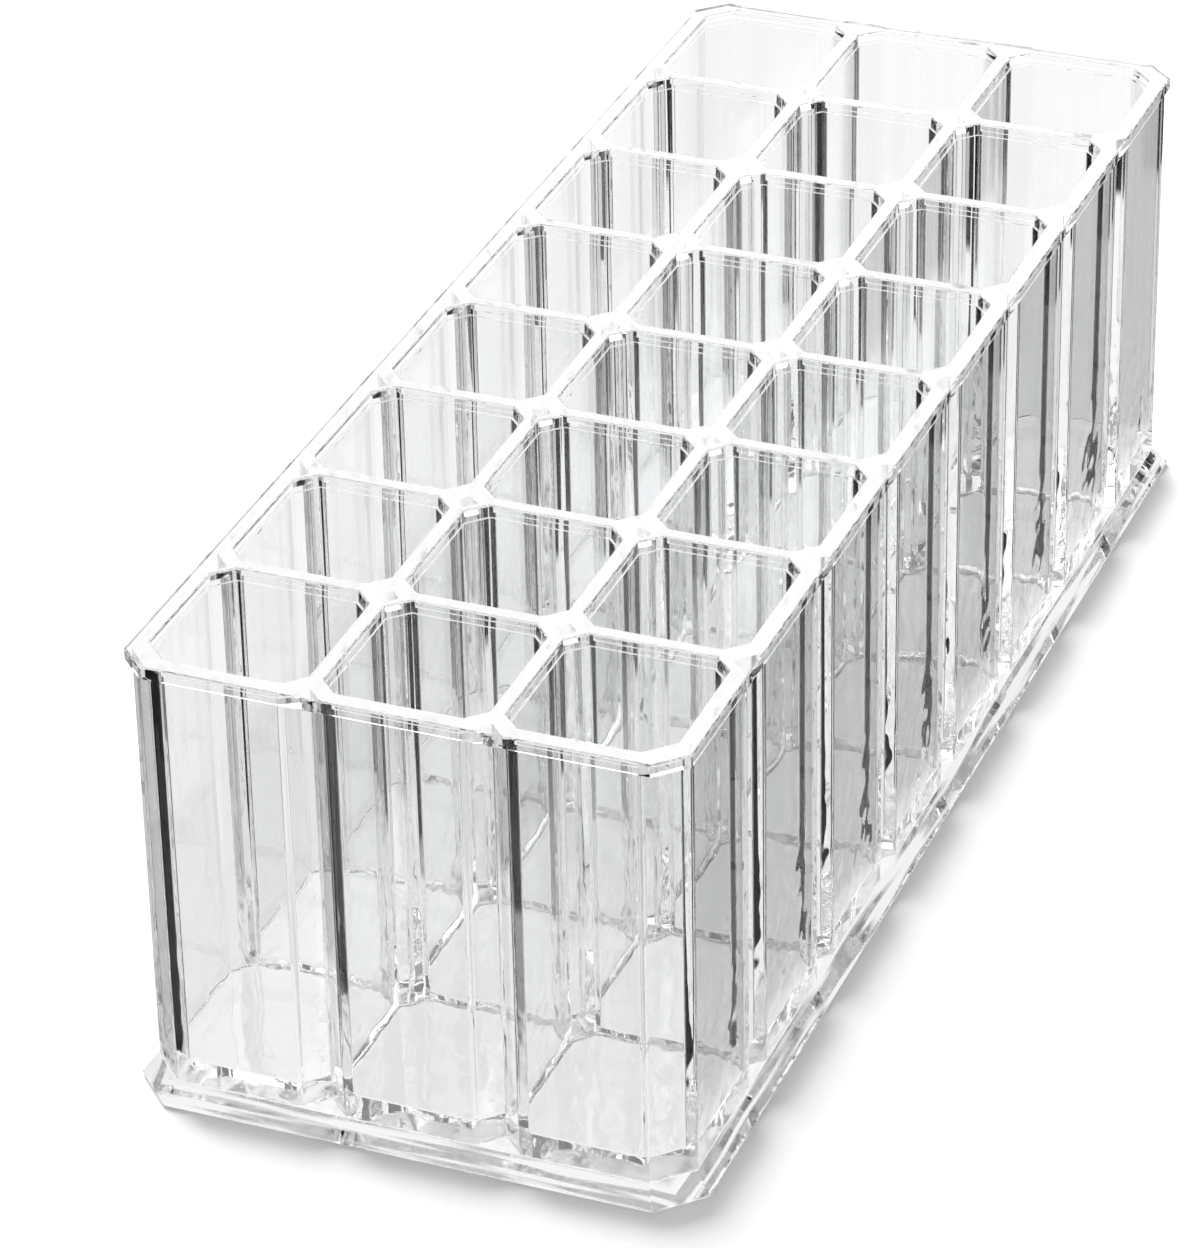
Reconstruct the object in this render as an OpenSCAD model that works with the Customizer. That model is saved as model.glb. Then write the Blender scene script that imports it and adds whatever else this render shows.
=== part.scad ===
// Clear vanity organizer: a grid of upright octagonal pockets that stand on
// a bevelled base plate and share one flat rim plate with a mouth over each
// pocket. Millimetres, +Z up, front of the organizer towards -Y, origin at
// the middle of the underside.

/* [Pockets] */
// Number of pockets across the width
columns = 3; // [2:1:4]
// Number of pockets along the length
rows = 8; // [2:1:12]
// Clear width of each mouth, left to right
mouth_w = 26; // [20:0.5:40]
// Clear length of each mouth, front to back
mouth_l = 28; // [20:0.5:40]
// Corner chamfer of each mouth
mouth_chamfer = 3; // [2:0.1:5]
// Corner chamfer of a mouth where two borders of the rim meet
corner_mouth_chamfer = 4.2; // [3:0.1:6]
// Ledge that each pocket's wall leaves inside the mouth above it
ledge = 0.3; // [0.2:0.05:0.6]
// Thickness of a pocket's floor
floor_t = 3; // [2:0.1:5]

/* [Rim] */
// Overall height, from the underside to the top of the rim
total_h = 77; // [50:1:120]
// Thickness of the rim plate
rim_t = 2; // [1.5:0.1:4]
// Width of the rim's border outside the mouths
border = 3; // [2.5:0.1:5]
// Width of the rim's ribs between neighbouring mouths
rib_t = 2.5; // [2:0.1:4]
// Chamfer of the rim's four outer corners
rim_chamfer = 4.5; // [3:0.1:7]
// Bevel round the rim's upper outer edge
rim_bevel = 0.3; // [0.2:0.05:0.6]

/* [Pocket block] */
// How far the pockets' outer walls stand in from the rim's edge
rim_overhang = 0.4; // [0.2:0.05:0.8]
// Chamfer of the block's four outer corners
block_chamfer = 5.6; // [4:0.1:8]
// Depth, and half width, of the groove between two pockets on the outside
groove_depth = 3.6; // [2:0.1:4.5]
// Half width of the square hollow post where four pockets meet
post_half_w = 1.8; // [1:0.1:2.5]

/* [Base] */
// Thickness of the base plate
base_t = 3.4; // [2.5:0.1:6]
// How far the foot's lower edge stands out from the pockets' walls
foot_out = 2.4; // [1:0.1:4]
// Upright part of the foot's edge, below its bevel
foot_edge_h = 0.5; // [0.3:0.1:1]
// Chamfer of the foot's four corners
foot_chamfer = 6.6; // [4:0.1:9]

/* [Hidden] */
// Pitch of the pockets both ways
pitch_x = mouth_w + rib_t;
pitch_y = mouth_l + rib_t;

// Outer sizes of the rim, of the block of pockets under it and of the foot
rim_w = columns * pitch_x - rib_t + 2 * border;
rim_l = rows * pitch_y - rib_t + 2 * border;
block_w = rim_w - 2 * rim_overhang;
block_l = rim_l - 2 * rim_overhang;
foot_w = block_w + 2 * foot_out;
foot_l = block_l + 2 * foot_out;

// Heights at which the pieces meet
block_top = total_h - rim_t;
block_h = block_top - base_t;
floor_top = base_t + floor_t;

// Overrun of every cut past the face that it opens
cut = 1;

function pocket_name(c, r) = str("pocket_c", c, "_r", r);

// Middle of the pocket in column c and row r, both counted from the front left
function cell_x(c) = (c - (columns + 1) / 2) * pitch_x;
function cell_y(r) = (r - (rows + 1) / 2) * pitch_y;

// Left and right, or front and rear, edges of a pocket's outline: a partition
// at half the pitch, or the block's outer wall at the ends of the row
function low_edge(i, middle, pitch, size) = i == 1 ? -size / 2 : middle - pitch / 2;
function high_edge(i, count, middle, pitch, size) = i == count ? size / 2 : middle + pitch / 2;

// How many outer walls meet at a corner: 0 inside, 1 along a side, 2 at a corner
function outer_walls(at_end_x, at_end_y) = (at_end_x ? 1 : 0) + (at_end_y ? 1 : 0);

// Chamfer of a pocket's outer corner: hollow post, side groove or block corner
function outline_chamfer(walls) = [post_half_w, groove_depth, block_chamfer][walls];

// Chamfer of a mouth's corner
function opening_chamfer(walls) = walls == 2 ? corner_mouth_chamfer : mouth_chamfer;

// For each corner of the pocket in column c and row r, in the order rear right,
// rear left, front left, front right, the number of outer walls that meet there
function corner_walls(c, r) = [
    outer_walls(c == columns, r == rows),
    outer_walls(c == 1, r == rows),
    outer_walls(c == 1, r == 1),
    outer_walls(c == columns, r == 1)
];

// Rectangle with its four corners cut at 45 degrees. cuts holds the chamfers in
// the order rear right, rear left, front left, front right.
module chamfered_rectangle(x0, x1, y0, y1, cuts) {
    polygon([
        [x1, y1 - cuts[0]], [x1 - cuts[0], y1],
        [x0 + cuts[1], y1], [x0, y1 - cuts[1]],
        [x0, y0 + cuts[2]], [x0 + cuts[2], y0],
        [x1 - cuts[3], y0], [x1, y0 + cuts[3]]
    ]);
}

// Mouth over a pocket, drawn in on every side by inset
module mouth_outline(c, r, inset) {
    half_w = mouth_w / 2 - inset;
    half_l = mouth_l / 2 - inset;
    translate([cell_x(c), cell_y(r)])
        chamfered_rectangle(-half_w, half_w, -half_l, half_l,
            [for (walls = corner_walls(c, r)) opening_chamfer(walls)]);
}

// Outside of one pocket, from its partitions to the block's outer walls
module pocket_outline(c, r) {
    chamfered_rectangle(
        low_edge(c, cell_x(c), pitch_x, block_w),
        high_edge(c, columns, cell_x(c), pitch_x, block_w),
        low_edge(r, cell_y(r), pitch_y, block_l),
        high_edge(r, rows, cell_y(r), pitch_y, block_l),
        [for (walls = corner_walls(c, r)) outline_chamfer(walls)]
    );
}

// A bar along Y whose section is upright for edge_h and then slopes in from
// half width low to half width high at height h
module sloped_bar(low, high, edge_h, h, length) {
    translate([0, length / 2, 0])
        rotate([90, 0, 0])
            linear_extrude(height = length)
                polygon([
                    [-low, 0], [low, 0], [low, edge_h],
                    [high, h], [-high, h], [-low, edge_h]
                ]);
}

// Chamfered plate whose sides slope in from low_size to high_size, each given
// as [width, length, chamfer]
module sloped_plate(low_size, high_size, edge_h, h) {
    length = 2 * (low_size[0] + low_size[1]);
    diagonal_low = (low_size[0] + low_size[1]) / 2 - low_size[2];
    diagonal_high = (high_size[0] + high_size[1]) / 2 - high_size[2];
    intersection() {
        sloped_bar(low_size[0] / 2, high_size[0] / 2, edge_h, h, length);
        rotate([0, 0, 90])
            sloped_bar(low_size[1] / 2, high_size[1] / 2, edge_h, h, length);
        intersection_for (turn = [-45, 45])
            rotate([0, 0, turn])
                sloped_bar(diagonal_low / sqrt(2), diagonal_high / sqrt(2), edge_h, h, length);
    }
}

// Plate that the pockets stand on, with its foot sloping out all round
module base_plate() {
    color([0.90, 0.93, 0.95, 0.45])
        sloped_plate(
            [foot_w, foot_l, foot_chamfer],
            [block_w, block_l, block_chamfer],
            foot_edge_h, base_t
        );
}

// Flat plate over all the pockets, with a mouth for each
module rim_grid() {
    color([0.95, 0.97, 0.98, 0.6])
        difference() {
            translate([0, 0, block_top])
                sloped_plate(
                    [rim_w, rim_l, rim_chamfer],
                    [rim_w - 2 * rim_bevel, rim_l - 2 * rim_bevel, rim_chamfer],
                    rim_t - rim_bevel, rim_t
                );
            for (r = [1:rows], c = [1:columns])
                translate([0, 0, block_top - cut])
                    linear_extrude(height = rim_t + 2 * cut)
                        mouth_outline(c, r, 0);
        }
}

// One pocket: octagonal walls on a floor, open at the top
module pocket(c, r) {
    color([0.88, 0.92, 0.95, 0.35])
        difference() {
            translate([0, 0, base_t])
                linear_extrude(height = block_h)
                    pocket_outline(c, r);
            translate([0, 0, floor_top])
                linear_extrude(height = block_h)
                    mouth_outline(c, r, ledge);
        }
}

base_plate();
rim_grid();
for (r = [1:rows], c = [1:columns])
    pocket(c, r);
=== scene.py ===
"""Clear moulded vanity organizer, dressed around its packed construction model.

Twenty-four upright pockets stand on a bevelled foot plate and share one flat
rim grid. The pieces are clear plastic and are bonded face to face, so light
passes from one to the next without a reflection. Metres, +Z up, front
towards -Y, origin at the middle of the underside.

Sizes and Cell give the outlines, Surface turns rings of points into meshes,
Pockets, RimGrid and FootPlate build and dress the pieces, and Studio holds the
floor, the light and the camera.
"""

import logging
import math
from collections.abc import Callable
from dataclasses import dataclass, field
from enum import Enum

import bpy
import numpy as np
from mathutils import Matrix, Vector


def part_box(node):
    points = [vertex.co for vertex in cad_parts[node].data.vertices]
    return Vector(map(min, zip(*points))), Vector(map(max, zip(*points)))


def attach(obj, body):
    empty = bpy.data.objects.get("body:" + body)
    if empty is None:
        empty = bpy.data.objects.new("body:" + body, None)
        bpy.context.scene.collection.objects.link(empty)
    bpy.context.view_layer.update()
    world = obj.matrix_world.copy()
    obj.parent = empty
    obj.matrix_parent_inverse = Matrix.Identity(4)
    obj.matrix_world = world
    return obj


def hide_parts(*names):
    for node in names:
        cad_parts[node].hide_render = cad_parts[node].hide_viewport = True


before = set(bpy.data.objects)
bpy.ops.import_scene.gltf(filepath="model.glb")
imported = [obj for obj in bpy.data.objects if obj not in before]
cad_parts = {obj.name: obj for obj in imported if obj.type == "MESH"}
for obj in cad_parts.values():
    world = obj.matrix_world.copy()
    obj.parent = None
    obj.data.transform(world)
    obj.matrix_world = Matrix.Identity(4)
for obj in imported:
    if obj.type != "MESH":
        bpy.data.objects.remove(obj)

log = logging.getLogger("vanity_organizer")

MM = 0.001
COLUMNS = 3
ROWS = 8
BODY = "root"

# Points of an arc of 45 degrees, points of an octagon's corner, which is two
# such arcs and a middle point, and points of the whole octagon
ARC_STEPS = 4
CORNER_POINTS = 2 * ARC_STEPS + 1
OUTLINE_POINTS = 4 * CORNER_POINTS

# Rings of a quarter round
EDGE_STEPS = 4

# Points closer than this are one point
MERGE_DISTANCE = 1e-7

# Faces whose normal rises less than this are upright
UPRIGHT_RISE = 0.01

# Bounces of a ray of light, and surfaces that it may pass unbent
BOUNCES = 32
CLEAR_BOUNCES = 96

Triple = tuple[float, float, float]
X_AXIS: Triple = (1.0, 0.0, 0.0)
Y_AXIS: Triple = (0.0, 1.0, 0.0)
Z_AXIS: Triple = (0.0, 0.0, 1.0)
WHITE = (1.0, 1.0, 1.0, 1.0)


class Face(Enum):
    """Kind of a face, which sets its finish. The value is its index in a new mesh.

    OPEN is a wall's, BONDED lies on another piece, UNDER stands on the table,
    TOP is the rim's flat top and FOOT is the outside low down.
    """

    OPEN = 0
    BONDED = 1
    UNDER = 2
    TOP = 3
    FOOT = 4


class Side(Enum):
    """Sides of a rectangle in the order in which an outline meets them."""

    REAR = 0
    LEFT = 1
    FRONT = 2
    RIGHT = 3


@dataclass(frozen=True)
class Rect:
    """Upright rectangle in plan, in metres."""

    x0: float
    x1: float
    y0: float
    y1: float

    def inset(self, left: float, right: float, front: float, rear: float) -> "Rect":
        """The rectangle drawn in by a distance of its own on each side."""
        return Rect(self.x0 + left, self.x1 - right, self.y0 + front, self.y1 - rear)


@dataclass(frozen=True)
class Sizes:
    """Sizes of the organizer, in metres.

    The fields with a value are the choices that the frame's boxes don't give.
    The boxes give the rest, by way of from_frame. The radii at the end are
    those of the wall's and the mouth's corners, the upper and lower edges, the
    floor's edge, the groove's edges, the inside corners and the pocket's lower
    outer edge.
    """

    rim: Rect
    block: Rect
    foot: Rect
    total_h: float
    block_top: float
    base_top: float
    mouth_w: float = 26 * MM
    mouth_l: float = 28 * MM
    rib: float = 2.5 * MM
    ledge: float = 0.3 * MM
    floor_t: float = 3 * MM
    mouth_chamfer: float = 3 * MM
    corner_mouth_chamfer: float = 4.2 * MM
    rim_chamfer: float = 4.5 * MM
    rim_bevel: float = 0.3 * MM
    block_chamfer: float = 5.6 * MM
    groove_depth: float = 3.6 * MM
    post_half_w: float = 1.8 * MM
    foot_chamfer: float = 6.6 * MM
    foot_edge_h: float = 0.5 * MM
    corner_radius: float = 0.3 * MM
    edge_radius: float = 0.25 * MM
    floor_fillet: float = 0.6 * MM
    groove_radius: float = 1.2 * MM
    wall_radius: float = 0.5 * MM
    heel_radius: float = 0.4 * MM

    @classmethod
    def from_frame(cls) -> "Sizes":
        """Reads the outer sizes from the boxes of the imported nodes.

        Returns:
            The organizer's sizes.
        """
        rim_lo, rim_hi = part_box("rim_grid")
        base_lo, base_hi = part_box("base_plate")
        first_lo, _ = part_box("pocket_c1_r1")
        _, last_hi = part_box(f"pocket_c{COLUMNS}_r{ROWS}")
        return cls(
            rim=Rect(rim_lo.x, rim_hi.x, rim_lo.y, rim_hi.y),
            block=Rect(first_lo.x, last_hi.x, first_lo.y, last_hi.y),
            foot=Rect(base_lo.x, base_hi.x, base_lo.y, base_hi.y),
            total_h=rim_hi.z,
            block_top=rim_lo.z,
            base_top=base_hi.z,
        )

    @property
    def pitch_x(self) -> float:
        """Distance between the middles of neighbouring columns."""
        return self.mouth_w + self.rib

    @property
    def pitch_y(self) -> float:
        """Distance between the middles of neighbouring rows."""
        return self.mouth_l + self.rib

    @property
    def floor_top(self) -> float:
        """Height of the pockets' floors."""
        return self.base_top + self.floor_t


@dataclass(frozen=True)
class Cell:
    """One of the places of the grid, counted from 1 at the front left."""

    column: int
    row: int
    sizes: Sizes

    @property
    def name(self) -> str:
        """The cell's part of a node's name."""
        return f"c{self.column}_r{self.row}"

    @property
    def middle(self) -> tuple[float, float]:
        """Middle of the cell, which is its mouth's too."""
        x = (self.column - (COLUMNS + 1) / 2) * self.sizes.pitch_x
        return x, (self.row - (ROWS + 1) / 2) * self.sizes.pitch_y

    @property
    def outer(self) -> dict[Side, bool]:
        """Whether each side lies on the outside of the organizer."""
        return {
            Side.REAR: self.row == ROWS,
            Side.LEFT: self.column == 1,
            Side.FRONT: self.row == 1,
            Side.RIGHT: self.column == COLUMNS,
        }

    @property
    def outer_walls(self) -> np.ndarray:
        """Number of outer walls that meet at each corner, rear right first."""
        rear, left, front, right = (int(self.outer[side]) for side in Side)
        return np.array([rear + right, rear + left, front + left, front + right])

    def bounds(self, whole: Rect) -> Rect:
        """The cell's share of an outline that goes round the whole grid.

        Args:
            whole: Rectangle round all the cells.

        Returns:
            The cell's rectangle, out to the whole's edge on its outer sides.
        """
        s = self.sizes
        x, y = self.middle
        return Rect(
            whole.x0 if self.outer[Side.LEFT] else x - s.pitch_x / 2,
            whole.x1 if self.outer[Side.RIGHT] else x + s.pitch_x / 2,
            whole.y0 if self.outer[Side.FRONT] else y - s.pitch_y / 2,
            whole.y1 if self.outer[Side.REAR] else y + s.pitch_y / 2,
        )

    def inset_outside(self, rect: Rect, distance: float) -> Rect:
        """rect, which spans the cell, drawn in on the cell's outer sides only."""
        amount = {side: distance if self.outer[side] else 0.0 for side in Side}
        return rect.inset(
            amount[Side.LEFT], amount[Side.RIGHT], amount[Side.FRONT], amount[Side.REAR]
        )

    def mouth(self, inset: float = 0.0) -> Rect:
        """The mouth's rectangle.

        Args:
            inset: How far it is drawn in on every side.

        Returns:
            The rectangle.
        """
        s = self.sizes
        x, y = self.middle
        half_w = s.mouth_w / 2 - inset
        half_l = s.mouth_l / 2 - inset
        return Rect(x - half_w, x + half_w, y - half_l, y + half_l)

    def mouth_cuts(self) -> np.ndarray:
        """Chamfer of each of the mouth's corners."""
        s = self.sizes
        return np.where(self.outer_walls == 2, s.corner_mouth_chamfer, s.mouth_chamfer)

    def wall_cuts(self) -> np.ndarray:
        """Chamfer of each outer corner: hollow post, groove or block corner."""
        s = self.sizes
        return np.array([s.post_half_w, s.groove_depth, s.block_chamfer])[self.outer_walls]

    def walls(self, inset: float = 0.0) -> np.ndarray:
        """Outline of the pocket's outside, rounded where two outer faces meet.

        A corner's first vertex lies on the side before it, its second on the
        side after it, in the order of Side. Those on a partition stay sharp.
        Where a corner's outer sides move in, its cut changes so that the
        slanted face moves in as far as they do.

        Args:
            inset: How far the outer faces are drawn in.

        Returns:
            Points, OUTLINE_POINTS by 2, counter-clockwise.
        """
        s = self.sizes
        outer = np.array([self.outer[side] for side in Side])
        exposed = np.stack([np.roll(outer, 1), outer], axis=1)
        radii = np.where(exposed, max(s.groove_radius - inset, 0.0), 0.0)
        change = np.array([0.0, math.sqrt(2) - 1, math.sqrt(2) - 2])[self.outer_walls]
        cuts = self.wall_cuts() + inset * change
        return octagon(self.inset_outside(self.bounds(s.block), inset), cuts, radii)

    def corner_cuts(self, chamfer: float) -> np.ndarray:
        """A chamfer at the organizer's own corners and none elsewhere."""
        return np.where(self.outer_walls == 2, chamfer, 0.0)


def octagon(rect: Rect, cuts: np.ndarray, radius: float | np.ndarray = 0.0) -> np.ndarray:
    """Outline of a rectangle with its corners cut at 45 degrees and rounded.

    Each corner is moved back by its cut along both sides. The two vertices
    that this gives are rounded by arcs of 45 degrees: an arc's centre lies
    inside the vertex at radius / cos(22.5 degrees), on the bisector.

    Args:
        rect: The rectangle.
        cuts: Four chamfers, rear right, rear left, front left, front right.
        radius: Rounding of the vertices: one, or an array for 4 corners of 2.

    Returns:
        Points, OUTLINE_POINTS by 2, counter-clockwise.
    """
    corners = np.array(
        [[rect.x1, rect.y1], [rect.x0, rect.y1], [rect.x0, rect.y0], [rect.x1, rect.y0]]
    )
    travel = np.array([[0.0, 1.0], [-1.0, 0.0], [0.0, -1.0], [1.0, 0.0]])
    first = corners - cuts[:, None] * travel
    second = corners + cuts[:, None] * np.roll(travel, -1, axis=0)
    vertices = np.stack([first, second], axis=1)
    radii = np.broadcast_to(np.asarray(radius, float), (4, 2))
    start = np.radians(90.0 * np.arange(4)[:, None] + 45.0 * np.arange(2))
    half_turn = math.radians(22.5)
    bisector = start + half_turn
    toward = np.stack([np.cos(bisector), np.sin(bisector)], axis=-1)
    centres = vertices - toward * (radii / math.cos(half_turn))[..., None]
    turn = start[..., None] + np.radians(np.linspace(0.0, 45.0, ARC_STEPS))
    rim = np.stack([np.cos(turn), np.sin(turn)], axis=-1)
    arcs = centres[:, :, None, :] + radii[..., None, None] * rim
    middle = (first + second)[:, None, :] / 2
    return np.concatenate([arcs[:, 0], middle, arcs[:, 1]], axis=1).reshape(-1, 2)


def outward_normals() -> np.ndarray:
    """Normals of any octagon's points: level, outward and turning with its arcs.

    Returns:
        Unit vectors, OUTLINE_POINTS by 3.
    """
    turn = np.linspace(0.0, 45.0, ARC_STEPS)
    corner = np.concatenate([turn, [45.0], 45.0 + turn])
    angle = np.radians((90.0 * np.arange(4)[:, None] + corner).ravel())
    return np.column_stack([np.cos(angle), np.sin(angle), np.zeros(len(angle))])


def ring(outline: np.ndarray, z: float) -> np.ndarray:
    """An outline laid at a height."""
    return np.column_stack([outline, np.full(len(outline), z)])


def pole(centre: tuple[float, float], z: float) -> np.ndarray:
    """A ring shrunk to one point, which closes a surface."""
    return np.tile([centre[0], centre[1], z], (OUTLINE_POINTS, 1))


def quarter_round(
    outline: Callable[[float], np.ndarray], radius: float, level: float, turn: int
) -> list[np.ndarray]:
    """Rings of a quarter round between a level face and upright ones.

    At an angle a, the outline is moved by radius (1 - sin a) and the ring lies
    radius (1 - cos a) away from the level face.

    Args:
        outline: Outline of the upright faces, by how far it is moved.
        radius: The quarter round's radius.
        level: Height of the level face.
        turn: 1 where the upright faces go up from the level one, else -1.

    Returns:
        EDGE_STEPS rings, from the level face to the upright ones.
    """
    return [
        ring(outline(radius * (1 - math.sin(a))), level + turn * radius * (1 - math.cos(a)))
        for a in np.linspace(0.0, math.pi / 2, EDGE_STEPS)
    ]


def side_column(side: Side) -> int:
    """Index of the face column that spans one straight side of an outline."""
    return (side.value + 1) * CORNER_POINTS - 1


@dataclass
class Surface:
    """Faces gathered from grids of rings, to be joined into one mesh."""

    grids: list[np.ndarray] = field(default_factory=list)
    kinds: list[np.ndarray] = field(default_factory=list)
    normals: list[np.ndarray] = field(default_factory=list)

    def add(self, rings: list[np.ndarray], kinds: np.ndarray) -> None:
        """Adds the quads between each ring and the next.

        Args:
            rings: Rings of OUTLINE_POINTS points. The surface runs from the
                first to the last, with the solid on the left of an outline.
            kinds: Material index of each quad, bands by columns; -1 drops it.
        """
        points = np.stack(rings)
        onward = np.roll(points, -1, axis=1)
        quads = np.stack([points[:-1], onward[:-1], onward[1:], points[1:]], axis=2)
        level = outward_normals()
        following = np.roll(level, -1, axis=0)
        turned = np.stack([level, following, following, level], axis=1)
        turned = np.broadcast_to(turned, quads.shape)
        keep = kinds.ravel() >= 0
        self.grids.append(quads.reshape(-1, 4, 3)[keep])
        self.normals.append(turned.reshape(-1, 4, 3)[keep])
        self.kinds.append(kinds.ravel()[keep])

    def mesh(self, name: str) -> bpy.types.Mesh:
        """Merges the points, drops what has no area and makes the mesh.

        A face's area is half the length of the cross product of its diagonals.
        Upright faces take the level normals, so that the rounded corners bend
        light smoothly. All others stay flat.

        Args:
            name: Name of the mesh.

        Returns:
            The mesh, its faces' material indices being those of Face.
        """
        quads = np.concatenate(self.grids)
        kinds = np.concatenate(self.kinds)
        cross = np.cross(quads[:, 2] - quads[:, 0], quads[:, 3] - quads[:, 1])
        area = np.linalg.norm(cross, axis=1)
        solid = area > MERGE_DISTANCE**2
        quads, kinds, level = quads[solid], kinds[solid], np.concatenate(self.normals)[solid]
        flat = (cross[solid] / area[solid, None])[:, None, :]
        facing = np.sign(np.sum(flat * level, axis=2, keepdims=True))
        upright = np.abs(flat[..., 2:]) < UPRIGHT_RISE
        normals = np.where(upright, facing * level, flat)
        keys = np.round(quads.reshape(-1, 3) / MERGE_DISTANCE).astype(np.int64)
        _, first, index = np.unique(keys, axis=0, return_index=True, return_inverse=True)
        corners = index.reshape(-1, 4)
        fresh = corners != np.roll(corners, 1, axis=1)
        faces = [row[new].tolist() for row, new in zip(corners, fresh)]
        mesh = bpy.data.meshes.new(name)
        mesh.from_pydata(quads.reshape(-1, 3)[first].tolist(), [], faces)
        mesh.polygons.foreach_set("material_index", kinds.astype(np.int32))
        mesh.validate()
        mesh.update()
        mesh.polygons.foreach_set("use_smooth", np.ones(len(faces), bool))
        mesh.normals_split_custom_set(normals[fresh].tolist())
        return mesh


def band_kinds(bands: list[Face | None]) -> np.ndarray:
    """Material indices for bands of faces that are each of one kind."""
    values = [-1 if kind is None else kind.value for kind in bands]
    return np.repeat(np.array(values)[:, None], OUTLINE_POINTS, axis=1)


class Value:
    """A shader socket that takes part in Python arithmetic."""

    def __init__(self, tree: "ShaderTree", socket: bpy.types.NodeSocket | None) -> None:
        """Wraps an output socket of a tree, or none for a node without outputs."""
        self.tree = tree
        self.socket = socket

    def _math(self, operation: str, *values: "Value | float") -> "Value":
        """A Math node on this and other values."""
        return self.tree.node("ShaderNodeMath", {"operation": operation}, dict(enumerate(values)))

    def __add__(self, other: "Value | float") -> "Value":
        """Sum."""
        return self._math("ADD", self, other)

    __radd__ = __add__

    def __mul__(self, other: "Value | float") -> "Value":
        """Product."""
        return self._math("MULTIPLY", self, other)

    __rmul__ = __mul__

    def __sub__(self, other: "Value | float") -> "Value":
        """Difference."""
        return self._math("SUBTRACT", self, other)

    def __rsub__(self, other: float) -> "Value":
        """Difference from a number."""
        return self._math("SUBTRACT", other, self)

    def largest(self, other: "Value | float") -> "Value":
        """The larger of two values."""
        return self._math("MAXIMUM", self, other)

    def size(self) -> "Value":
        """The value without its sign."""
        return self._math("ABSOLUTE", self)

    def along(self, direction: Triple) -> "Value":
        """How far this vector goes along a direction: their dot product."""
        return self.tree.node(
            "ShaderNodeVectorMath", {"operation": "DOT_PRODUCT"}, {0: self, 1: direction}, "Value"
        )

    def between(self, low: float, high: float) -> "Value":
        """0 below low, 1 above high and smooth between them."""
        settings = {"interpolation_type": "SMOOTHSTEP"}
        return self.tree.node("ShaderNodeMapRange", settings, {0: self, 1: low, 2: high})


class ShaderTree:
    """Node tree of a material or a world, emptied and ready to be filled."""

    def __init__(self, owner: bpy.types.Material | bpy.types.World) -> None:
        """Takes over the owner's tree.

        Args:
            owner: The material or world.
        """
        owner.use_nodes = True
        self.tree = owner.node_tree
        self.tree.nodes.clear()

    def node(
        self,
        kind: str,
        settings: dict[str, object] | None = None,
        inputs: dict[int | str, object] | None = None,
        output: int | str = 0,
    ) -> Value:
        """Makes any node.

        Args:
            kind: The node's type.
            settings: Attributes, which are set first.
            inputs: Numbers, colours or Values for its sockets.
            output: The output socket to return.

        Returns:
            The output, as a Value.
        """
        made = self.tree.nodes.new(kind)
        for key, value in (settings or {}).items():
            setattr(made, key, value)
        for key, value in (inputs or {}).items():
            if isinstance(value, Value):
                self.tree.links.new(value.socket, made.inputs[key])
            else:
                made.inputs[key].default_value = value
        return Value(self, made.outputs[output] if len(made.outputs) else None)

    def mix(self, factor: Value | float, first: Value, second: Value) -> Value:
        """A Mix Shader: the first shader where the factor is 0, the second where it is 1."""
        return self.node("ShaderNodeMixShader", {}, {0: factor, 1: first, 2: second})

    def transparent(self, level: float = 1.0) -> Value:
        """A shader that lets through a share of the light, unbent."""
        return self.node("ShaderNodeBsdfTransparent", {}, {"Color": grey(level)})

    def path(self, question: str) -> Value:
        """What Light Path says of the ray."""
        return self.node("ShaderNodeLightPath", output=question)

    def from_plastic(self) -> Value:
        """1 for a ray that comes out of clear plastic or off it, else 0."""
        return self.path("Is Glossy Ray").largest(self.path("Is Transmission Ray"))

    def was_reflected(self) -> Value:
        """1 for a ray that was reflected on its way, in or on the plastic, else 0."""
        return self.path("Glossy Depth").between(0.0, 1.0)


def grey(level: float) -> tuple[float, float, float, float]:
    """A neutral colour."""
    return (level, level, level, 1.0)


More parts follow.
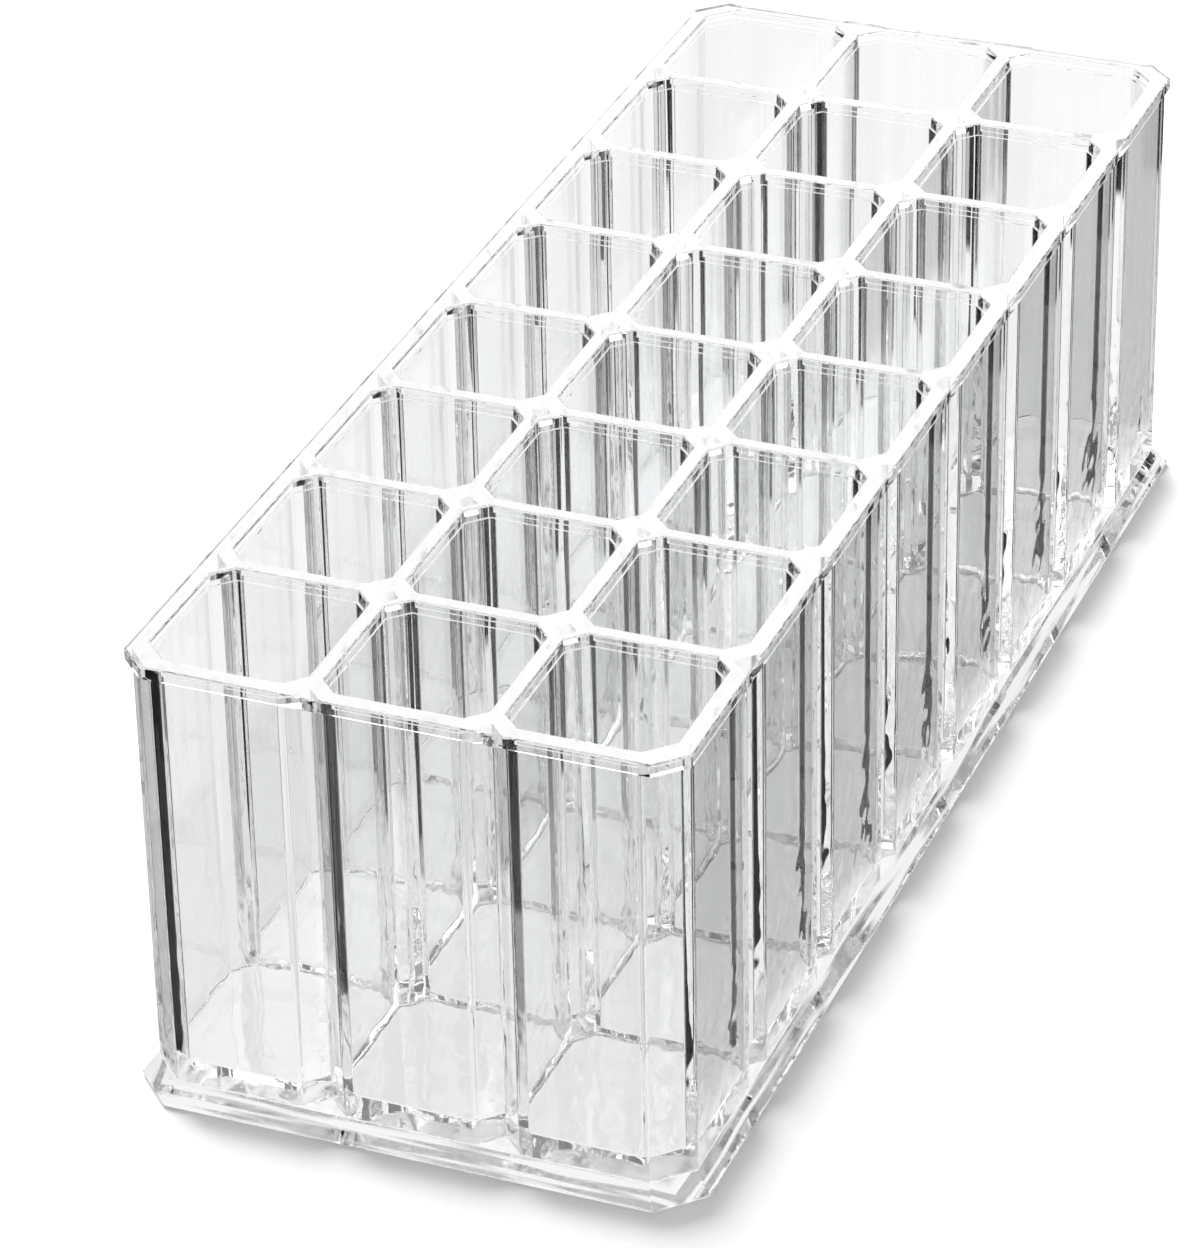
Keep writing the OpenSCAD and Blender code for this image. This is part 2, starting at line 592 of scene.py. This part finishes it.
@dataclass(frozen=True)
class ClearPlastic:
    """Polished clear moulded plastic.

    Args:
        name: The material's name.
        ior: Index of refraction.
        tint: What a surface lets through of each colour.
        roughness: Microscopic roughness.
        ripple: Depth of the moulded surface's gentle ripple, in metres.
        ripple_size: Width of one ripple, in metres.
        stretch: How much closer the ripples lie along each axis.
        shade: What a surface lets through of the light that makes shadows.
        coat: Weight of a second gloss layer.
        coat_roughness: Roughness of that layer.
    """

    name: str
    ior: float = 1.5
    tint: Triple = (0.995, 0.998, 1.0)
    roughness: float = 0.0
    ripple: float = 0.00008
    ripple_size: float = 0.03
    stretch: Triple = (1.0, 1.0, 0.4)
    shade: float = 0.995
    coat: float = 0.0
    coat_roughness: float = 0.08

    def contact(self, where: Value) -> Value | float:
        """Share of the surface that touches what lies beside it, at a place."""
        return 0.0

    def height(self, where: Value) -> Value:
        """Height of the ripple: a noise, in shares of the ripple's depth.

        Args:
            where: The place, in the object's coordinates.

        Returns:
            The height there.
        """
        t = where.tree
        stretched = t.node("ShaderNodeMapping", {}, {"Vector": where, "Scale": self.stretch})
        inputs = {"Vector": stretched, "Scale": 1 / self.ripple_size, "Detail": 0.0}
        return t.node("ShaderNodeTexNoise", {}, inputs)

    def material(self) -> bpy.types.Material:
        """Makes the material: refraction, and a clear way for shadow rays.

        Returns:
            The material.
        """
        material = bpy.data.materials.new(self.name)
        t = ShaderTree(material)
        where = t.node("ShaderNodeTexCoord", output="Object")
        bump_inputs = {"Height": self.height(where), "Distance": self.ripple, "Strength": 1.0}
        plastic_inputs = {
            "Base Color": (*self.tint, 1.0),
            "Roughness": self.roughness,
            "IOR": self.ior,
            "Transmission Weight": 1.0,
            "Coat Weight": self.coat,
            "Coat Roughness": self.coat_roughness,
            "Normal": t.node("ShaderNodeBump", {}, bump_inputs),
        }
        plastic = t.node("ShaderNodeBsdfPrincipled", {}, plastic_inputs)
        body = t.mix(self.contact(where), plastic, t.transparent())
        surface = t.mix(t.path("Is Shadow Ray"), body, t.transparent(self.shade))
        t.node("ShaderNodeOutputMaterial", {}, {"Surface": surface})
        return material


@dataclass(frozen=True)
class WallPlastic(ClearPlastic):
    """Clear plastic of the walls, with flow marks low down from the moulding.

    Args:
        flow: Depth of the flow marks, in depths of the ripple.
        flow_size: Width of one mark, in metres.
        flow_low: Height up to which the marks are at their full depth.
        flow_high: Height above which there are none.
    """

    flow: float = 2.8
    flow_size: float = 0.007
    flow_low: float = 0.010
    flow_high: float = 0.042

    def height(self, where: Value) -> Value:
        """Height of the ripple with the flow marks, a finer noise, added low down.

        Args:
            where: The place, in the object's coordinates.

        Returns:
            The height there.
        """
        low = 1 - where.along(Z_AXIS).between(self.flow_low, self.flow_high)
        inputs = {"Vector": where, "Scale": 1 / self.flow_size, "Detail": 1.0}
        marks = where.tree.node("ShaderNodeTexNoise", {}, inputs)
        return super().height(where) + self.flow * low * marks


@dataclass(frozen=True, kw_only=True)
class StandingPlastic(ClearPlastic):
    """Clear plastic that rests on the table and touches it in fine lines.

    Args:
        outline: Outline of the standing surface.
        line: Distance between the lines of contact, in metres.
        line_length: Length of such a line, in metres.
        line_edges: Levels of the noise at which a line begins and is full.
        strip: How far inside the outline the lines are full and end.
        loosest: Share of contact between the lines and inside of them.
    """

    outline: Rect
    line: float = 0.0022
    line_length: float = 0.03
    line_edges: tuple[float, float] = (0.44, 0.58)
    strip: tuple[float, float] = (0.006, 0.009)
    loosest: float = 0.25

    def contact(self, where: Value) -> Value:
        """Contact in lines that run round the edge: a noise drawn out along it.

        Args:
            where: The place, in the object's coordinates.

        Returns:
            The share of contact there.
        """
        x, y = where.along(X_AXIS), where.along(Y_AXIS)
        outward = (x.size() - self.outline.x1).largest(y.size() - self.outline.y1)
        steps = {0: outward * (1 / self.line), 1: (x + y) * (1 / self.line_length)}
        place = where.tree.node("ShaderNodeCombineXYZ", {}, steps)
        inputs = {"Vector": place, "Scale": 1.0, "Detail": 1.0}
        lines = where.tree.node("ShaderNodeTexNoise", {}, inputs).between(*self.line_edges)
        foot = outward.between(-self.strip[1], -self.strip[0])
        return self.loosest + foot * (lines - self.loosest)


def bonded_seam() -> bpy.types.Material:
    """Material of the faces where two clear pieces are bonded: none is seen.

    Returns:
        The material.
    """
    material = bpy.data.materials.new("bonded_seam")
    t = ShaderTree(material)
    t.node("ShaderNodeOutputMaterial", {}, {"Surface": t.transparent()})
    return material


def make_finishes(sizes: Sizes) -> dict[Face, bpy.types.Material]:
    """Makes the organizer's materials.

    Args:
        sizes: The organizer's sizes.

    Returns:
        The material of each kind of face.
    """
    under = StandingPlastic("scuffed_plastic", ripple=0.0, shade=0.1, outline=sizes.foot)
    foot = ClearPlastic(
        "foot_plastic", ripple=0.00002, ripple_size=0.006, stretch=(0.15, 0.15, 4.0), shade=0.12
    )
    top = ClearPlastic("rim_top_plastic", ripple=0.0, roughness=0.09, coat=0.4)
    return {
        Face.OPEN: WallPlastic("clear_plastic").material(),
        Face.BONDED: bonded_seam(),
        Face.UNDER: under.material(),
        Face.FOOT: foot.material(),
        Face.TOP: top.material(),
    }


def add_piece(
    mesh: bpy.types.Mesh, finishes: dict[Face, bpy.types.Material], nodes: list[str]
) -> None:
    """Puts a finished mesh into the scene and ties it to the construction model.

    The mesh keeps only the materials that its faces use.

    Args:
        mesh: The mesh, in place, its faces' indices being those of Face.
        finishes: Material of each kind of face.
        nodes: Names of the nodes that the piece stands for.
    """
    piece = bpy.data.objects.new(mesh.name, mesh)
    bpy.context.scene.collection.objects.link(piece)
    kinds = np.empty(len(mesh.polygons), np.int32)
    mesh.polygons.foreach_get("material_index", kinds)
    used, places = np.unique(kinds, return_inverse=True)
    for kind in used:
        mesh.materials.append(finishes[Face(int(kind))])
    mesh.polygons.foreach_set("material_index", places.astype(np.int32))
    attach(piece, BODY)
    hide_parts(*nodes)
    log.info("%s: %d faces", piece.name, len(mesh.polygons))


@dataclass
class Pockets:
    """The upright pockets: octagonal walls on a floor, open at the top."""

    sizes: Sizes

    def build(self, cell: Cell) -> bpy.types.Mesh:
        """One pocket, as rings from its underside, up its outside, down its inside.

        Args:
            cell: The pocket's place in the grid.

        Returns:
            The mesh.
        """
        s = self.sizes
        mouth_cuts = cell.mouth_cuts()

        def inside(inset: float) -> np.ndarray:
            """Outline of the inside, drawn in from its wall."""
            radius = max(s.wall_radius, inset)
            return octagon(cell.mouth(s.ledge + inset), mouth_cuts, radius)

        heel_rings = quarter_round(cell.walls, s.heel_radius, s.base_top, 1)
        floor_rings = quarter_round(inside, s.floor_fillet, s.floor_top, 1)
        rings = [
            pole(cell.middle, s.base_top),
            *heel_rings,
            ring(cell.walls(), s.floor_top),
            ring(cell.walls(), s.block_top),
            ring(octagon(cell.mouth(), mouth_cuts, s.corner_radius), s.block_top),
            ring(inside(0.0), s.block_top),
            *reversed(floor_rings),
            pole(cell.middle, s.floor_top),
        ]
        low = len(heel_rings)
        outside = [Face.BONDED, *[Face.FOOT] * low, Face.OPEN, Face.BONDED]
        kinds = band_kinds(outside + [Face.OPEN] * (len(rings) - 1 - len(outside)))
        partitions = [side_column(side) for side in Side if not cell.outer[side]]
        kinds[1 : low + 2, partitions] = Face.BONDED.value
        surface = Surface()
        surface.add(rings, kinds)
        return surface.mesh(f"pocket_shell_{cell.name}")

    def dress(self, cells: list[Cell], finishes: dict[Face, bpy.types.Material]) -> None:
        """Builds each pocket and gives it its clear plastic.

        Args:
            cells: The places of the grid.
            finishes: Material of each kind of face.
        """
        for cell in cells:
            add_piece(self.build(cell), finishes, [f"pocket_{cell.name}"])


@dataclass
class RimGrid:
    """The flat plate over the pockets, with a mouth for each."""

    sizes: Sizes

    def build(self, cells: list[Cell]) -> bpy.types.Mesh:
        """The plate, as a collar round each mouth, joined edge to edge.

        Each collar's rings run from the mouth's lower edge outwards under the
        plate, up its outer edge, inwards over its top and down the mouth.

        Args:
            cells: The places of the grid.

        Returns:
            The mesh.
        """
        s = self.sizes
        surface = Surface()
        for cell in cells:
            mouth_cuts = cell.mouth_cuts()
            outer_cuts = cell.corner_cuts(s.rim_chamfer)
            outer_radius = np.where(outer_cuts > 0, s.corner_radius, 0.0)[:, None]
            span = cell.bounds(s.rim)

            def opening(widened: float) -> np.ndarray:
                """Outline of the mouth, widened by a distance."""
                return octagon(cell.mouth(-widened), mouth_cuts, s.corner_radius)

            def edge(inset: float) -> np.ndarray:
                """Outline of the cell's share of the plate's outer edge."""
                return octagon(cell.inset_outside(span, inset), outer_cuts, outer_radius)

            top_edge = quarter_round(edge, s.rim_bevel, s.total_h, -1)
            mouth_edge = quarter_round(opening, s.edge_radius, s.total_h, -1)
            rings = [
                ring(opening(0.0), s.block_top),
                ring(cell.walls(), s.block_top),
                ring(edge(0.0), s.block_top),
                *reversed(top_edge),
                *mouth_edge,
                ring(opening(0.0), s.block_top),
            ]
            kinds = band_kinds([Face.BONDED] + [Face.OPEN] * (len(rings) - 2))
            kinds[2 + len(top_edge)] = Face.TOP.value
            upright = slice(2, 2 + len(top_edge))
            for side in Side:
                if not cell.outer[side]:
                    kinds[upright, side_column(side)] = -1
            surface.add(rings, kinds)
        return surface.mesh("rim_plate")

    def dress(self, cells: list[Cell], finishes: dict[Face, bpy.types.Material]) -> None:
        """Builds the plate and gives it its clear plastic.

        Args:
            cells: The places of the grid.
            finishes: Material of each kind of face.
        """
        add_piece(self.build(cells), finishes, ["rim_grid"])


@dataclass
class FootPlate:
    """The plate that the pockets stand on, with its foot sloping out all round."""

    sizes: Sizes

    def build(self, cells: list[Cell]) -> bpy.types.Mesh:
        """The plate, as a tile under each pocket, joined edge to edge.

        Each tile's rings run from the middle of its underside outwards, up the
        foot's edge and bevel and inwards over its top.

        Args:
            cells: The places of the grid.

        Returns:
            The mesh.
        """
        s = self.sizes
        surface = Surface()
        for cell in cells:
            foot_cuts = cell.corner_cuts(s.foot_chamfer)
            block_cuts = cell.corner_cuts(s.block_chamfer)
            radius = np.where(foot_cuts > 0, s.corner_radius, 0.0)[:, None]
            span = cell.bounds(s.foot)

            def foot(inset: float) -> np.ndarray:
                """Outline of the cell's share of the foot's edge."""
                return octagon(cell.inset_outside(span, inset), foot_cuts, radius)

            lower_edge = quarter_round(foot, s.edge_radius, 0.0, 1)
            rings = [
                pole(cell.middle, 0.0),
                *lower_edge,
                ring(foot(0.0), s.foot_edge_h),
                ring(octagon(cell.bounds(s.block), block_cuts, radius), s.base_top),
                ring(cell.walls(s.heel_radius), s.base_top),
                pole(cell.middle, s.base_top),
            ]
            kinds = band_kinds([Face.UNDER] + [Face.FOOT] * (len(rings) - 3) + [Face.BONDED])
            upright = slice(1, len(rings) - 3)
            for side in Side:
                if not cell.outer[side]:
                    kinds[upright, side_column(side)] = -1
            surface.add(rings, kinds)
        return surface.mesh("foot_plate")

    def dress(self, cells: list[Cell], finishes: dict[Face, bpy.types.Material]) -> None:
        """Builds the plate and gives it its clear plastic.

        Args:
            cells: The places of the grid.
            finishes: Material of each kind of face.
        """
        add_piece(self.build(cells), finishes, ["base_plate"])


@dataclass(frozen=True)
class Limit:
    """A straight, soft edge between two areas of the table or the surround.

    Args:
        inward: Direction across the edge.
        low: Distance along that direction below which the far side's value holds.
        high: Distance above which the near side's value holds.
    """

    inward: Triple
    low: float
    high: float

    def inside(self, place: Value) -> Value:
        """1 on the near side of the edge and 0 on its far side."""
        return place.along(self.inward).between(self.low, self.high)


@dataclass(frozen=True)
class Studio:
    """Floor, surround, lamp and camera.

    Clear plastic is drawn by what it brings into view. Rays that only pass
    through it see a pale table, which glows with painted light and shade, and a
    white surround. Rays that are reflected in it see that table ending close by,
    a dark room and two soft boxes.

    Args:
        floor_size: Width of the floor.
        floor_drop: How far the floor lies below the organizer.
        floor_level: Lightness of the floor.
        table: Limits of the table that reflected rays see.
        painted_table_level: Painted brightness of the table that clear plastic sees,
            a glow that stands in for the light and shade on it.
        right_painted_level: The same, to the right of right_edge, painted a little lighter.
        right_edge: Where the table's right part begins.
        rear_edge: Where the white part behind the organizer begins.
        left_edge: Where the white part on its left begins.
        near_painted_light: Painted light on the table close under the foot's edge, a lighter band
            that the foot shows.
        near_edges: Where that begins, on the right and in front.
        surround_level: Light of the surround on the floor.
        room_level: Brightness of the dark room.
        rear_box: Place of the soft box behind, by direction.
        rear_level: Its brightness.
        top_box: Place of the soft box above, by direction.
        top_level: Its brightness.
        lamp_power: Power of the lamp, in watts.
        lamp_size: Width of the lamp.
        lamp_place: Place of the lamp.
        camera_place: Place of the camera.
        camera_angles: Azimuth, elevation and roll of the camera, in degrees.
        focal_length: Focal length, in widths of the sensor.
        sensor: Width of the camera's sensor, in millimetres.
        clip: Nearest and furthest distance that the camera sees.
    """

    floor_size: float = 6.0
    floor_drop: float = 0.0002
    floor_level: float = 0.95
    table: tuple[Limit, ...] = (
        Limit(X_AXIS, -0.081, -0.076),
        Limit((-1.0, 0.0, 0.0), -0.0515, -0.0465),
        Limit(Y_AXIS, -0.132, -0.127),
        Limit((0.0, -1.0, 0.0), -0.291, -0.286),
        Limit((0.885, 0.465, 0.0), -0.099, -0.094),
    )
    painted_table_level: float = 0.90
    right_painted_level: float = 0.92
    right_edge: Limit = Limit((0.8, -0.6, 0.0), -0.02, 0.10)
    rear_edge: Limit = Limit(Y_AXIS, -0.03, 0.06)
    left_edge: Limit = Limit(X_AXIS, -0.08, -0.045)
    near_painted_light: float = 0.96
    near_edges: tuple[Limit, Limit] = (Limit(X_AXIS, 0.034, 0.040), Limit(Y_AXIS, -0.120, -0.114))
    surround_level: float = 0.53
    room_level: float = 0.01
    rear_box: Limit = Limit((-0.35, 0.80, 0.49), 0.83, 0.88)
    rear_level: float = 2.0
    top_box: Limit = Limit(Z_AXIS, 0.6, 0.8)
    top_level: float = 1.0
    lamp_power: float = 42.0
    lamp_size: float = 0.9
    lamp_place: Triple = (-0.95, 0.9, 0.85)
    camera_place: Triple = (0.2844, -0.7447, 0.4955)
    camera_angles: Triple = (22.06, 30.63, -1.22)
    focal_length: float = 5581.0 / 1248
    sensor: float = 36.0
    clip: tuple[float, float] = (0.05, 20.0)

    def painted_table_light(self, t: ShaderTree) -> Value:
        """Painted light and shade of the table for rays from the plastic.

        Args:
            t: The floor's tree.

        Returns:
            0 where the room's darkness is seen and 1 where white is.
        """
        place = t.node("ShaderNodeTexCoord", output="Object")
        lit = 1.0
        for limit in self.table:
            lit = lit * limit.inside(place)
        # painted light and shade: the table glows at painted levels, a little lighter towards the
        # right and front, white behind and to the left
        right = self.right_edge.inside(place)
        level = self.painted_table_level + right * (self.right_painted_level - self.painted_table_level)
        white = (1 - self.left_edge.inside(place)).largest(self.rear_edge.inside(place))
        # painted light: a lighter band on the table just beyond the foot's right and front edges
        right_of_foot, behind_front = (edge.inside(place) for edge in self.near_edges)
        near = right_of_foot.largest(1 - behind_front) * self.near_painted_light
        return level.largest(white).largest(near) * (1 - t.was_reflected() * (1 - lit))

    def floor(self) -> None:
        """A pale floor, which clear plastic sees as its table, glowing with painted light and
        shade.
        """
        half = self.floor_size / 2
        mesh = bpy.data.meshes.new("studio_floor")
        corners = [(-half, -half, 0), (half, -half, 0), (half, half, 0), (-half, half, 0)]
        mesh.from_pydata(corners, [], [(0, 1, 2, 3)])
        floor = bpy.data.objects.new("studio_floor", mesh)
        floor.location.z = -self.floor_drop
        bpy.context.scene.collection.objects.link(floor)
        material = bpy.data.materials.new("pale_floor")
        t = ShaderTree(material)
        matte = t.node("ShaderNodeBsdfDiffuse", {}, {"Color": grey(self.floor_level)})
        white, dark = (
            t.node("ShaderNodeEmission", {}, {"Color": WHITE, "Strength": strength})
            for strength in (1.0, self.room_level)
        )
        seen = t.mix(self.painted_table_light(t), dark, white)
        surface = t.mix(t.from_plastic(), matte, seen)
        t.node("ShaderNodeOutputMaterial", {}, {"Surface": surface})
        mesh.materials.append(material)

    def surround(self) -> None:
        """An even surround for the light, white for the camera, with soft boxes for plastic."""
        world = bpy.data.worlds.new("studio_surround")
        bpy.context.scene.world = world
        t = ShaderTree(world)
        direction = t.node("ShaderNodeTexCoord", output="Generated")
        even, room, top, rear, white = (
            t.node("ShaderNodeBackground", {}, {"Color": WHITE, "Strength": strength})
            for strength in (
                self.surround_level, self.room_level, self.top_level, self.rear_level, 1.0
            )
        )
        room = t.mix(self.top_box.inside(direction), room, top)
        room = t.mix(self.rear_box.inside(direction), room, rear)
        seen = t.mix(t.from_plastic(), even, t.mix(t.was_reflected(), white, room))
        surface = t.mix(t.path("Is Camera Ray"), seen, white)
        t.node("ShaderNodeOutputWorld", {}, {"Surface": surface})

    def lamp(self) -> None:
        """A large soft lamp above and behind, on the left."""
        light = bpy.data.lights.new("soft_lamp", "AREA")
        light.shape = "SQUARE"
        light.size = self.lamp_size
        light.energy = self.lamp_power
        lamp = bpy.data.objects.new("soft_lamp", light)
        bpy.context.scene.collection.objects.link(lamp)
        lamp.location = self.lamp_place
        lamp.rotation_euler = (-lamp.location).to_track_quat("-Z", "Y").to_euler()
        lamp.visible_glossy = False
        lamp.visible_transmission = False

    def camera(self) -> None:
        """The camera at the photograph's place, angle and focal length."""
        data = bpy.data.cameras.new("camera")
        camera = bpy.data.objects.new("camera", data)
        bpy.context.scene.collection.objects.link(camera)
        azimuth, elevation, roll = (math.radians(angle) for angle in self.camera_angles)
        back = Vector((
            math.sin(azimuth) * math.cos(elevation),
            -math.cos(azimuth) * math.cos(elevation),
            math.sin(elevation),
        ))
        right = (-back).cross(Vector(Z_AXIS)).normalized()
        up = right.cross(-back)
        turned_right = right * math.cos(roll) + up * math.sin(roll)
        turned_up = up * math.cos(roll) - right * math.sin(roll)
        basis = Matrix((turned_right, turned_up, back)).transposed().to_4x4()
        camera.matrix_world = Matrix.Translation(Vector(self.camera_place)) @ basis
        data.sensor_width = self.sensor
        data.lens = self.focal_length * self.sensor
        data.clip_start, data.clip_end = self.clip
        bpy.context.scene.camera = camera

    def build(self) -> None:
        """Makes the floor, the surround, the lamp and the camera."""
        self.floor()
        self.surround()
        self.lamp()
        self.camera()


def set_light_paths() -> None:
    """Lets light pass the many walls of the pockets, and keeps colours as written."""
    cycles = bpy.context.scene.cycles
    cycles.max_bounces = BOUNCES
    cycles.transmission_bounces = BOUNCES
    cycles.glossy_bounces = BOUNCES
    cycles.transparent_max_bounces = CLEAR_BOUNCES
    bpy.context.scene.view_settings.view_transform = "Standard"


def main() -> None:
    """Builds the organizer's pieces, dresses them and lays out the studio."""
    logging.basicConfig(level=logging.INFO, format="%(name)s: %(message)s")
    sizes = Sizes.from_frame()
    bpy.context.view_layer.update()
    cells = [Cell(c, r, sizes) for r in range(1, ROWS + 1) for c in range(1, COLUMNS + 1)]
    finishes = make_finishes(sizes)
    Pockets(sizes).dress(cells, finishes)
    RimGrid(sizes).dress(cells, finishes)
    FootPlate(sizes).dress(cells, finishes)
    Studio().build()
    set_light_paths()


if __name__ == "__main__":
    main()
